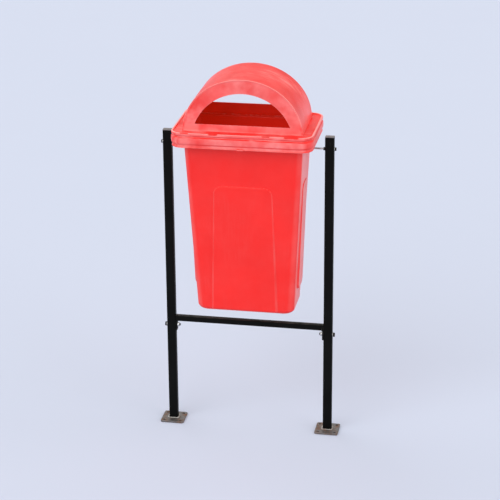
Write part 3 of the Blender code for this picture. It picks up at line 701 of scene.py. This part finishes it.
def opening_ring(z):
    """The rim's points drawn in to the rectangular opening under the hood."""
    scale = [(hood - 0.0025) / (rim - RIM_INNER_EDGE) for hood, rim in zip(HOOD_HALF, RIM_HALF)]
    return [Vector((p.x * scale[0], p.y * scale[1], z)) for p in rim_ring(RIM_INNER_EDGE, z)]


def cut_notches(ring):
    """Lower the lip to just above the flange at each drain notch in the front."""
    floor = FLANGE_TOP + 0.0003
    for point in ring:
        if point.y < -RIM_HALF[1] + 0.012 and point.z > floor:
            depth = max(ease((min(point.x - low, high - point.x) + 0.0012) / 0.0024)
                        for low, high in DRAIN_NOTCHES)
            point.z += (floor - point.z) * depth
    return ring


def make_rim():
    inner = [(0.0085, FLANGE_TOP - WALL), (0.0085, RIM_BOTTOM + 0.012), (0.0095, RIM_BOTTOM + 0.007)]
    bm = bmesh.new()
    layers = skin(bm, [cut_notches(rim_ring(inset, z)) for inset, z in inner + rim_profile()])
    top_edge, low_edge = ([bm.verts.new(point) for point in opening_ring(z)]
                          for z in (FLANGE_TOP, FLANGE_TOP - WALL))
    for lower, upper in ((layers[-1], top_edge), (top_edge, low_edge), (low_edge, layers[0])):
        strip(bm, lower, upper)
    rim = make_piece("lid_rim", bm, LID_RED, face_out=True)
    soft_normals(rim)
    return hand_over(rim, "lid", "red_plastic", "lid")


RIM = make_rim()
print("lid rim:", len(RIM.data.polygons), "faces,", len(DRAIN_NOTCHES), "drain notches")

# %% [markdown]
# ## Hood
# The hood is a vault whose outline is half an ellipse, closed at the front and the rear by
# a face with a mouth: a flat sill with a round arch above it. A bead runs round the outer
# edge of each face. The skin is drawn as closed rings that grow from the mouth to the
# outline, and the outline is then carried along the vault. Solidify gives it its wall.
# %% Build the hood
HOOD_RISE = 0.168
HOOD_BOTTOM = FLANGE_TOP - 0.0006
MOUTH_HALF = 0.1475
FRONT_MOUTH, REAR_MOUTH = (0.023, 0.1003), (0.036, 0.0873)      # sill and rise
ARCH_STEPS, SILL_STEPS = 96, 40
TURNS = [math.pi * step / ARCH_STEPS for step in range(ARCH_STEPS + 1)]
# depth below the outline along the face, how far the face stands forward there, and how far
# the foot of the face does
BEAD = ((0.0105, 0.0, 0.0), (0.0078, 0.0, 0.0), (0.0066, -0.0003, 0.0), (0.0054, -0.0003, 0.0001),
        (0.0044, 0.0005, 0.0003), (0.0030, 0.0013, 0.0007), (0.0016, 0.0012, 0.0013),
        (0.0005, 0.0003, 0.0022), (0.0, -0.0012, 0.0034))


def outline_point(turn, inset):
    """A point of the hood's outline: half an ellipse on a straight foot, drawn in by inset."""
    base = HOOD_BOTTOM + inset
    crown = FLANGE_TOP + HOOD_RISE - inset
    return Vector(((HOOD_HALF[0] - inset) * math.cos(turn), 0, base + (crown - base) * math.sin(turn)))


def mouth_point(share, sill, rise):
    """A point of a mouth's arch: share runs from 0 at its right corner to 1 at its left."""
    radius = (MOUTH_HALF ** 2 + rise ** 2) / (2 * rise)
    turn = math.asin(MOUTH_HALF / radius) * (1 - 2 * share)
    centre = FLANGE_TOP + sill + rise - radius
    return Vector((radius * math.sin(turn), 0, centre + radius * math.cos(turn)))


def face_rings(sill, rise):
    """Closed rings from the mouth to the outline of the front face."""
    across = [-1 + 2 * step / SILL_STEPS for step in range(1, SILL_STEPS)]
    mouth = [mouth_point(step / ARCH_STEPS, sill, rise) for step in range(ARCH_STEPS + 1)]
    mouth += [Vector((x * MOUTH_HALF, 0, FLANGE_TOP + sill)) for x in across]

    def outline(inset):
        ring = [outline_point(turn, inset) for turn in TURNS]
        return ring + [Vector((x * (HOOD_HALF[0] - inset), 0, HOOD_BOTTOM + inset)) for x in across]

    rings = []
    inner = outline(BEAD[0][0])
    for share in (0.0, 0.12, 0.35, 0.65, 0.9):
        ring = [a.lerp(b, share) for a, b in zip(mouth, inner)]
        rings.append([Vector((p.x, -HOOD_HALF[1], p.z)) for p in ring])
    for inset, forward, foot in BEAD:
        ring = []
        for index, point in enumerate(outline(inset)):
            bead = ease((point.z - FLANGE_TOP - 0.004) / 0.016) if index <= ARCH_STEPS else 0.0
            ring.append(Vector((point.x, -HOOD_HALF[1] - foot - (forward - foot) * bead, point.z)))
        rings.append(ring)
    return rings


def vault_rows():
    """Open rows of the vault's outline, from behind the front bead to behind the rear one."""
    places = [0.0945, 0.089, 0.075, 0.057, 0.040, 0.020]
    return [[outline_point(turn, 0.0) + Vector((0, y, 0)) for turn in TURNS]
            for y in [-place for place in places] + [0.0] + places[::-1]]


def make_hood():
    bm = bmesh.new()
    front = skin(bm, face_rings(*FRONT_MOUTH))
    rear = skin(bm, [[Vector((p.x, -p.y, p.z)) for p in ring] for ring in face_rings(*REAR_MOUTH)])
    rows = [[bm.verts.new(point) for point in row] for row in vault_rows()]
    rows = [front[-1][:ARCH_STEPS + 1]] + rows + [rear[-1][:ARCH_STEPS + 1]]
    for before, after in zip(rows, rows[1:]):
        for i in range(ARCH_STEPS):
            bm.faces.new((before[i], before[i + 1], after[i + 1], after[i]))
    bmesh.ops.recalc_face_normals(bm, faces=bm.faces)
    crown = max(bm.faces, key=lambda face: face.calc_center_median().z)
    if crown.normal.z < 0:
        bmesh.ops.reverse_faces(bm, faces=bm.faces)
    hood = make_piece("lid_hood", bm, LID_RED)
    add_wall(hood)
    edges = hood.modifiers.new("soft_edges", "BEVEL")
    edges.width, edges.segments, edges.limit_method = 0.0009, 3, "ANGLE"
    edges.angle_limit = math.radians(60)
    settle(hood, 50)
    soft_normals(hood)
    return hand_over(hood, "lid", "red_plastic")


HOOD = make_hood()
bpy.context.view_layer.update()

# %% [markdown]
# ## Moulded lugs
# The lid turns on two hinges behind the rim. Each has a barrel on a gusset of the body
# between two ears of the lid. Inside, a round boss thickens the wall where each pivot bush
# passes through it. A small tab at the front of the rim gives the thumb a hold. A lug is one
# outline that is given a thickness, with its edges rounded.
# %% Hinges, bosses and the thumb tab
_, HINGE_Y, HINGE_Z = span("left_hinge_pin_cap")[2]
HINGE_RADIUS, HINGE_OFFSET = 0.0075, 0.110
KNUCKLE_WIDTH, EAR_WIDTH, HINGE_PLAY = 0.018, 0.008, 0.0006
BOSS_END, BOSS_SIDES = 0.166, 64
TAB_HALF, TAB_CORNER, TAB_THICKNESS = 0.011, 0.004, 0.003


def barrel_arc(first, last, steps=24):
    """Points round a hinge barrel, with angles measured from +Y towards +Z."""
    turns = [math.radians(first + (last - first) * step / steps) for step in range(steps + 1)]
    return [(HINGE_Y + HINGE_RADIUS * math.cos(t), HINGE_Z + HINGE_RADIUS * math.sin(t)) for t in turns]


def lug(name, outline, low, high, material, edge=0.0008, upright=False):
    """Give an outline in Y and Z a thickness along X, or one in X and Y a thickness along Z."""
    bm = bmesh.new()
    ends = [[bm.verts.new((a, b, end) if upright else (end, a, b)) for a, b in outline]
            for end in (low, high)]
    bm.faces.new(reversed(ends[0]))
    bm.faces.new(ends[1])
    strip(bm, *ends)
    piece = make_piece(name, bm, material, face_out=True)
    round_edges(piece, edge)
    return piece


def round_edges(piece, width, segments=3, angle=35):
    bevel = piece.modifiers.new("soft_edges", "BEVEL")
    bevel.width, bevel.segments, bevel.limit_method = width, segments, "ANGLE"
    bevel.angle_limit = math.radians(angle)
    bevel.harden_normals = True


def make_hinges():
    arm_low, arm_top = HINGE_Z - 0.050, HINGE_Z + 0.0015
    lean = 180 - math.degrees(math.asin(0.0015 / HINGE_RADIUS))
    gusset = [(wall_half(arm_low, 1) - 0.001, arm_low),
              (wall_half(arm_top, 1) - 0.001, arm_top)] + barrel_arc(lean, -80)
    root = RIM_HALF[1] - 0.0080
    ear_low, ear_high = RIM_BOTTOM + 0.001, RIM_BOTTOM + 0.021
    low_turn = 180 - math.degrees(math.asin((ear_low - HINGE_Z) / HINGE_RADIUS))
    ear = [(root, ear_high), (root, ear_low)] + barrel_arc(low_turn, 400)
    ear.append((HINGE_Y - 0.001, ear_high))
    for side, sign in SIDES:
        x = sign * HINGE_OFFSET
        shift = KNUCKLE_WIDTH / 2 + HINGE_PLAY + EAR_WIDTH / 2
        for name, outline, middle, width, body, red in (
                ("knuckle", gusset, x, KNUCKLE_WIDTH, "bin", BODY_RED),
                ("ear_a", ear, x - shift, EAR_WIDTH, "lid", LID_RED),
                ("ear_b", ear, x + shift, EAR_WIDTH, "lid", LID_RED)):
            piece = lug(f"{side}_hinge_{name}", outline, middle - width / 2, middle + width / 2, red)
            hand_over(piece, body, "red_plastic")


def make_bosses():
    wall = wall_half(PIVOT_HEIGHT, 0) - WALL / 2
    profile = soften([(BUSH_HOLE, BOSS_END), (0.0172, BOSS_END), (0.0180, BOSS_END + 0.001),
                      (0.0184, wall - 0.006), (0.0230, wall)]) + [(BUSH_HOLE, wall)]
    circle = [(math.cos(t), math.sin(t))
              for t in (2 * math.pi * i / BOSS_SIDES for i in range(BOSS_SIDES))]
    for side, sign in SIDES:
        bm = bmesh.new()
        layers = skin(bm, [[(sign * x, radius * a, PIVOT_HEIGHT + radius * b) for a, b in circle]
                           for radius, x in profile])
        strip(bm, layers[-1], layers[0])
        boss = make_piece(f"{side}_pivot_boss", bm, BODY_RED, face_out=True)
        hand_over(boss, "bin", "red_plastic")


def make_thumb_tab():
    front, back = -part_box("lid")[0].y, RIM_HALF[1] - 0.008
    outline = [(-TAB_HALF, -back), (TAB_HALF, -back)]
    outline += [(TAB_HALF - TAB_CORNER * (1 - math.sin(t)), -front + TAB_CORNER * (1 - math.cos(t)))
                for t in (math.radians(90 - 15 * i) for i in range(7))]
    outline += [(-x, y) for x, y in reversed(outline[2:])]
    low = RIM_BOTTOM + 0.001
    tab = lug("thumb_tab", outline, low, low + TAB_THICKNESS, LID_RED, 0.0006, upright=True)
    hand_over(tab, "lid", "red_plastic")


make_hinges()
make_bosses()
make_thumb_tab()
print("hinge axis at", round(HINGE_Y, 4), round(HINGE_Z, 4))

# %% [markdown]
# ## Steel frame and turned parts
# Tubes, plates, washers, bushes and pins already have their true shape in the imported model.
# What they lack is the small radius that every real edge has, which is where metal and
# paint catch the light. A merged copy of each gets one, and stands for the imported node.
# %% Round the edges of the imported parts
def refine(node, slot, edge, body="frame"):
    mesh = NODES[node].data.copy()
    bm = bmesh.new()
    bm.from_mesh(mesh)
    bmesh.ops.remove_doubles(bm, verts=bm.verts, dist=0.00001)
    bmesh.ops.dissolve_limit(bm, angle_limit=math.radians(2), verts=bm.verts, edges=bm.edges)
    piece = make_piece(f"{node}_worn", bm, FINISHES[slot], 30)
    bpy.data.meshes.remove(mesh)
    round_edges(piece, edge)
    return hand_over(piece, body, slot, node)


refine("crossbar", "black_paint", 0.0004)
for side, _ in SIDES:
    refine(f"{side}_post", "black_paint", 0.0005)
    refine(f"{side}_post_cap", "grey_cap", 0.0006)
    refine(f"{side}_base_plate", "bare_steel", 0.0007)
    refine(f"{side}_crossbar_tab", "black_paint", 0.0006)
    for name in ("crossbar_washer", "pivot_outer_washer", "pivot_inner_washer"):
        refine(f"{side}_{name}", "zinc_plate", 0.0003)
    refine(f"{side}_pivot_bush", "grey_nylon", 0.0004, "bin")
    refine(f"{side}_hinge_pin", "zinc_plate", 0.0005, "bin")
    refine(f"{side}_hinge_pin_cap", "zinc_plate", 0.0004, "bin")

# %% [markdown]
# ## Hexagon heads and nuts
# A real nut or bolt head is a hexagon turned on a lathe, so its corners are cut back by a
# cone. Each ring of the shape has 48 points. On the rings of the flats, the distance to
# the axis follows the hexagon, and the point drops back where the corner is cut.
# %% Nuts and heads
HEX_POINTS = 48
HALF_ROOT_3 = math.sqrt(3) / 2
M6_HOLE, M8_HOLE = 0.0029, 0.0039
PIVOT_HEAD, CROSSBAR_HEAD = 0.0040, 0.0053                   # how thick the bolt heads are


def hexagon(name, slot, corner, near, far, z, bore=0.0, turn=0.5, nodes=()):
    """A nut along X between near and far, or a head if bore is 0. corner is half the width
    over the corners."""
    way = 1 if far > near else -1
    flat = corner * HALF_ROOT_3
    circle = flat * 0.97
    hole = max(bore, 0.0001)
    rings = [[] for _ in range(6)]
    for i in range(HEX_POINTS):
        angle = 2 * math.pi * i / HEX_POINTS
        inside = (angle + turn) % (math.pi / 3) - math.pi / 6
        reach = flat / math.cos(inside)
        drop = (reach - circle) * math.tan(math.radians(30)) * way
        shape = ((hole, near), (circle, near), (reach, near + drop), (reach, far - drop),
                 (circle, far), (hole, far))
        for ring, (radius, x) in zip(rings, shape):
            ring.append((x, radius * math.cos(angle), z + radius * math.sin(angle)))
    bm = bmesh.new()
    layers = skin(bm, rings)
    if bore:
        strip(bm, layers[-1], layers[0])
    else:
        bm.faces.new(layers[0])
        bm.faces.new(layers[-1])
    piece = make_piece(name, bm, FINISHES[slot], 25, face_out=True)
    return hand_over(piece, "frame", slot, *nodes)


for side, sign in SIDES:
    for name, slot, bore in (("pivot_jam_nut", "blackened_steel", M6_HOLE),
                             ("pivot_lock_nut", "zinc_plate", M6_HOLE),
                             ("crossbar_nut", "zinc_plate", M8_HOLE)):
        low, high, middle = span(f"{side}_{name}")
        corner = max(high.y - low.y, high.z - low.z) / 2
        hexagon(f"{side}_{name}_cut", slot, corner, low.x, high.x, middle.z, bore, 0.2,
                (f"{side}_{name}",))
    for name, height, corner in (("pivot_bolt", PIVOT_HEAD, 0.0058),
                                 ("crossbar_bolt", CROSSBAR_HEAD, 0.0075)):
        low, high, middle = span(f"{side}_{name}")
        end = high.x if sign > 0 else low.x
        hexagon(f"{side}_{name}_head", "blackened_steel", corner, end - sign * height, end, middle.z)

# %% [markdown]
# ## Threads
# The pivot bolt is threaded over its whole length, and the crossbar bolt too. A thread is
# a ridge that climbs round a core by one pitch in each turn, so a node tree makes it from a
# spiral: it sweeps a small triangle along the spiral and adds the core.
# %% Node tree for a threaded rod
def new_tree(name, **inputs):
    tree = bpy.data.node_groups.new(name, "GeometryNodeTree")
    tree.interface.new_socket("Geometry", in_out="INPUT", socket_type="NodeSocketGeometry")
    for socket, kind in inputs.items():
        tree.interface.new_socket(socket.replace("_", " "), in_out="INPUT",
                                  socket_type=f"NodeSocket{kind}")
    tree.interface.new_socket("Geometry", in_out="OUTPUT", socket_type="NodeSocketGeometry")
    return tree, tree.nodes.new("NodeGroupInput").outputs, tree.nodes.new("NodeGroupOutput").inputs


def circle(tree, points, radius=1.0):
    inputs = {"Resolution": points, "Radius": radius}
    return add(tree, "GeometryNodeCurvePrimitiveCircle", inputs).outputs[0]


def sweep(tree, curve, profile, **more):
    inputs = {"Curve": curve, "Profile Curve": profile, "Fill Caps": True}
    return add(tree, "GeometryNodeCurveToMesh", {**inputs, **more}).outputs[0]


def close_tree(tree, geometry, material, out):
    real = add(tree, "GeometryNodeRealizeInstances", {"Geometry": geometry})
    painted = add(tree, "GeometryNodeSetMaterial", {"Geometry": real.outputs[0], "Material": material})
    tree.links.new(painted.outputs[0], out["Geometry"])


def thread_tree():
    tree, given, out = new_tree("threaded_rod", Length="Float", Core_Radius="Float",
                                Thread_Radius="Float", Pitch="Float", Start="Vector",
                                Material="Material")
    length, core_radius = given["Length"], given["Core Radius"]
    turns = maths("DIVIDE", length, given["Pitch"])
    ridge = maths("SUBTRACT", given["Thread Radius"], core_radius)
    middle = maths("ADD", core_radius, product(ridge, 0.35))
    spiral = add(tree, "GeometryNodeCurveSpiral", {"Resolution": 14, "Rotations": turns,
                                                   "Height": length, "Start Radius": middle,
                                                   "End Radius": middle})
    coil = sweep(tree, spiral.outputs[0], circle(tree, 3), Scale=product(ridge, 0.65))
    end = add(tree, "ShaderNodeCombineXYZ", {"Z": length})
    line = add(tree, "GeometryNodeCurvePrimitiveLine", {"End": end.outputs[0]})
    core = sweep(tree, line.outputs[0], circle(tree, 20, core_radius))
    both = add(tree, "GeometryNodeJoinGeometry")
    tree.links.new(core, both.inputs[0])
    tree.links.new(coil, both.inputs[0])
    laid = add(tree, "GeometryNodeTransform", {"Geometry": both.outputs[0], "Rotation": (0, QUARTER, 0),
                                               "Translation": given["Start"]})
    close_tree(tree, laid.outputs[0], given["Material"], out)
    return tree


def grow(name, tree, path=(), **values):
    """Run a node tree on a path, or on nothing, and return its result as a plain piece."""
    mesh = bpy.data.meshes.new(name)
    mesh.from_pydata(path, [(i, i + 1) for i in range(len(path) - 1)], [])
    piece = new_object(name, mesh)
    modifier = piece.modifiers.new("nodes", "NODES")
    modifier.node_group = tree
    for item in tree.interface.items_tree:
        if item.in_out == "INPUT" and item.name != "Geometry":
            modifier[item.identifier] = values[item.name.replace(" ", "_")]
    return settle(piece, 35)


# %% Threads of the four bolts
def make_threads(tree):
    overlap = 0.0005                                         # the rod runs on into the head
    for side, sign in SIDES:
        for name, slot, radius, pitch, head in (
                ("pivot_bolt", "zinc_plate", 0.0030, 0.0010, PIVOT_HEAD),
                ("crossbar_bolt", "blackened_steel", 0.0040, 0.00125, CROSSBAR_HEAD)):
            low, high, middle = span(f"{side}_{name}")
            start = low.x if sign > 0 else low.x + head - overlap
            rod = grow(f"{side}_{name}_thread", tree, Length=high.x - low.x - head + overlap,
                       Core_Radius=radius - pitch * 0.45, Thread_Radius=radius, Pitch=pitch,
                       Start=(start, 0, middle.z), Material=FINISHES[slot])
            hand_over(rod, "frame", slot, f"{side}_{name}")
            print(rod.name, len(rod.data.polygons), "faces")


make_threads(thread_tree())

# %% [markdown]
# ## Weld beads
# A hand-made weld is a row of overlapping scales, because the pool of metal freezes a
# little at a time. The node tree follows a path, swells and narrows the bead once for each
# scale, wavers a little from a fixed seed, and is used at the feet and under the crossbar.
# %% Node tree for a weld and its four places
def weld_tree():
    tree, given, out = new_tree("weld_bead", Bead_Radius="Float", Scale_Length="Float", Ripple="Float",
                                Waver="Float", Seed="Float", Material="Material")
    curve = add(tree, "GeometryNodeMeshToCurve", {"Mesh": given["Geometry"]}).outputs[0]
    fine = add(tree, "GeometryNodeResampleCurve", {"Curve": curve, "Length": 0.0005}, mode="LENGTH")
    length = add(tree, "GeometryNodeSplineParameter").outputs["Length"]
    share = maths("FRACT", maths("DIVIDE", length, given["Scale Length"]))
    scale = maths("SUBTRACT", 1.0, product(maths("POWER", share, 2.0), given["Ripple"]))
    uneven = noise(tree, 260.0, 2.0, {"W": given["Seed"]}, noise_dimensions="4D")
    radius = product(given["Bead Radius"], scale, remap(uneven[0], 0.3, 0.7, 0.86, 1.14))
    bead = sweep(tree, fine.outputs[0], circle(tree, 12), Scale=radius)
    shift = vectors("SUBTRACT", uneven[1], (0.5, 0.5, 0.5))[0]
    waver = add(tree, "ShaderNodeVectorMath", {0: shift, "Scale": given["Waver"]}, operation="SCALE")
    wavered = add(tree, "GeometryNodeSetPosition", {"Geometry": bead, "Offset": waver.outputs[0]})
    close_tree(tree, wavered.outputs[0], given["Material"], out)
    return tree


def rounded_path(centre_x, half_x, half_y, corner, z):
    points = []
    for quarter in range(4):
        cx = centre_x + (half_x - corner) * (1 if quarter in (0, 3) else -1)
        cy = (half_y - corner) * (1 if quarter in (0, 1) else -1)
        points += [(cx + corner * math.cos(t), cy + corner * math.sin(t), z)
                   for t in ((quarter + i / 4) * QUARTER for i in range(5))]
    return points + [points[0]]


def make_welds(tree):
    bar_half, weld_z = 0.0078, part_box("crossbar")[0].z - 0.0008
    for side, sign in SIDES:
        low, high, middle = span(f"{side}_foot_weld")
        half = (high - low) / 2
        path = rounded_path(middle.x, half.x - 0.0022, half.y - 0.0022, 0.0035, low.z + 0.0011)
        bead = grow(f"{side}_foot_weld_bead", tree, path, Bead_Radius=0.0023, Scale_Length=0.0026,
                    Ripple=0.34, Waver=0.0006, Seed=3.0 + sign, Material=WELD_METAL)
        hand_over(bead, "frame", "bare_steel", f"{side}_foot_weld")
        tab_low, tab_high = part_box(f"{side}_crossbar_tab")
        face = (tab_low.x if sign > 0 else tab_high.x) - sign * 0.0008
        line = [(face, -bar_half, weld_z), (face, bar_half, weld_z)]
        under = grow(f"{side}_crossbar_weld_bead", tree, line, Bead_Radius=0.0018, Scale_Length=0.0022,
                     Ripple=0.3, Waver=0.0004, Seed=9.0 + sign, Material=FINISHES["black_paint"])
        hand_over(under, "frame", "black_paint")
        print(bead.name, len(bead.data.polygons), "faces,", under.name, len(under.data.polygons))


make_welds(weld_tree())

# %% [markdown]
# ## Floor, air and lights
# A plain pale floor reaches past the horizon, under air of the same pale blue, so that the
# bin seems to stand in an even, bright studio. Large soft lights at both sides and behind
# give the plastic its pale reflections where the eye meets it at a shallow angle.
# %% Studio
FLOOR_RADIUS, FLOOR_DROP = 90, 0.0006
FLOOR_COLOUR, FLOOR_SHADE = (0.556, 0.603, 0.724, 1), (0.551, 0.598, 0.719, 1)
AIR_COLOUR, AIR_LIGHT = (0.708, 0.760, 0.896, 1), (0.80, 0.78, 0.76, 1)


def make_floor():
    bm = bmesh.new()
    bmesh.ops.create_circle(bm, cap_ends=True, segments=96, radius=FLOOR_RADIUS)
    bmesh.ops.translate(bm, verts=bm.verts, vec=(0, 0, -FLOOR_DROP))
    material, tree, shader = new_material("pale_floor", 0.9, Specular_IOR_Level=0.0)
    cloud = use(tree, "clouds", Scale=1.5, Low=0.2, High=0.8, Seed=2.0)
    feed(shader, Base_Color=tint(cloud, FLOOR_COLOUR, FLOOR_SHADE))
    make_piece("floor", bm, material)


def make_air():
    """The air looks pale blue, but it lights the bin with a neutral white."""
    world = bpy.data.worlds.new("air")
    world.use_nodes = True
    tree = world.node_tree
    seen = tree.nodes.new("ShaderNodeLightPath").outputs["Is Camera Ray"]
    tree.links.new(tint(seen, AIR_LIGHT, AIR_COLOUR), tree.nodes["Background"].inputs["Color"])
    bpy.context.scene.world = world


def soft_sun(name, azimuth, elevation, strength, spread):
    """A light with no falloff. Azimuth 0 shines from the front and 90 from the right."""
    data = bpy.data.lights.new(name, "SUN")
    data.energy, data.angle = strength, math.radians(spread)
    light = new_object(name, data)
    turn, rise = math.radians(azimuth), math.radians(elevation)
    towards = Vector((math.sin(turn) * math.cos(rise), -math.cos(turn) * math.cos(rise),
                      math.sin(rise)))
    light.rotation_euler = towards.to_track_quat("Z", "Y").to_euler()


make_air()
make_floor()
soft_sun("key_front_left", azimuth=-28, elevation=36, strength=1.16, spread=50)
soft_sun("fill_right", azimuth=80, elevation=30, strength=0.85, spread=60)
soft_sun("back_left", azimuth=-120, elevation=40, strength=0.55, spread=50)
bpy.context.scene.view_settings.view_transform = "Standard"
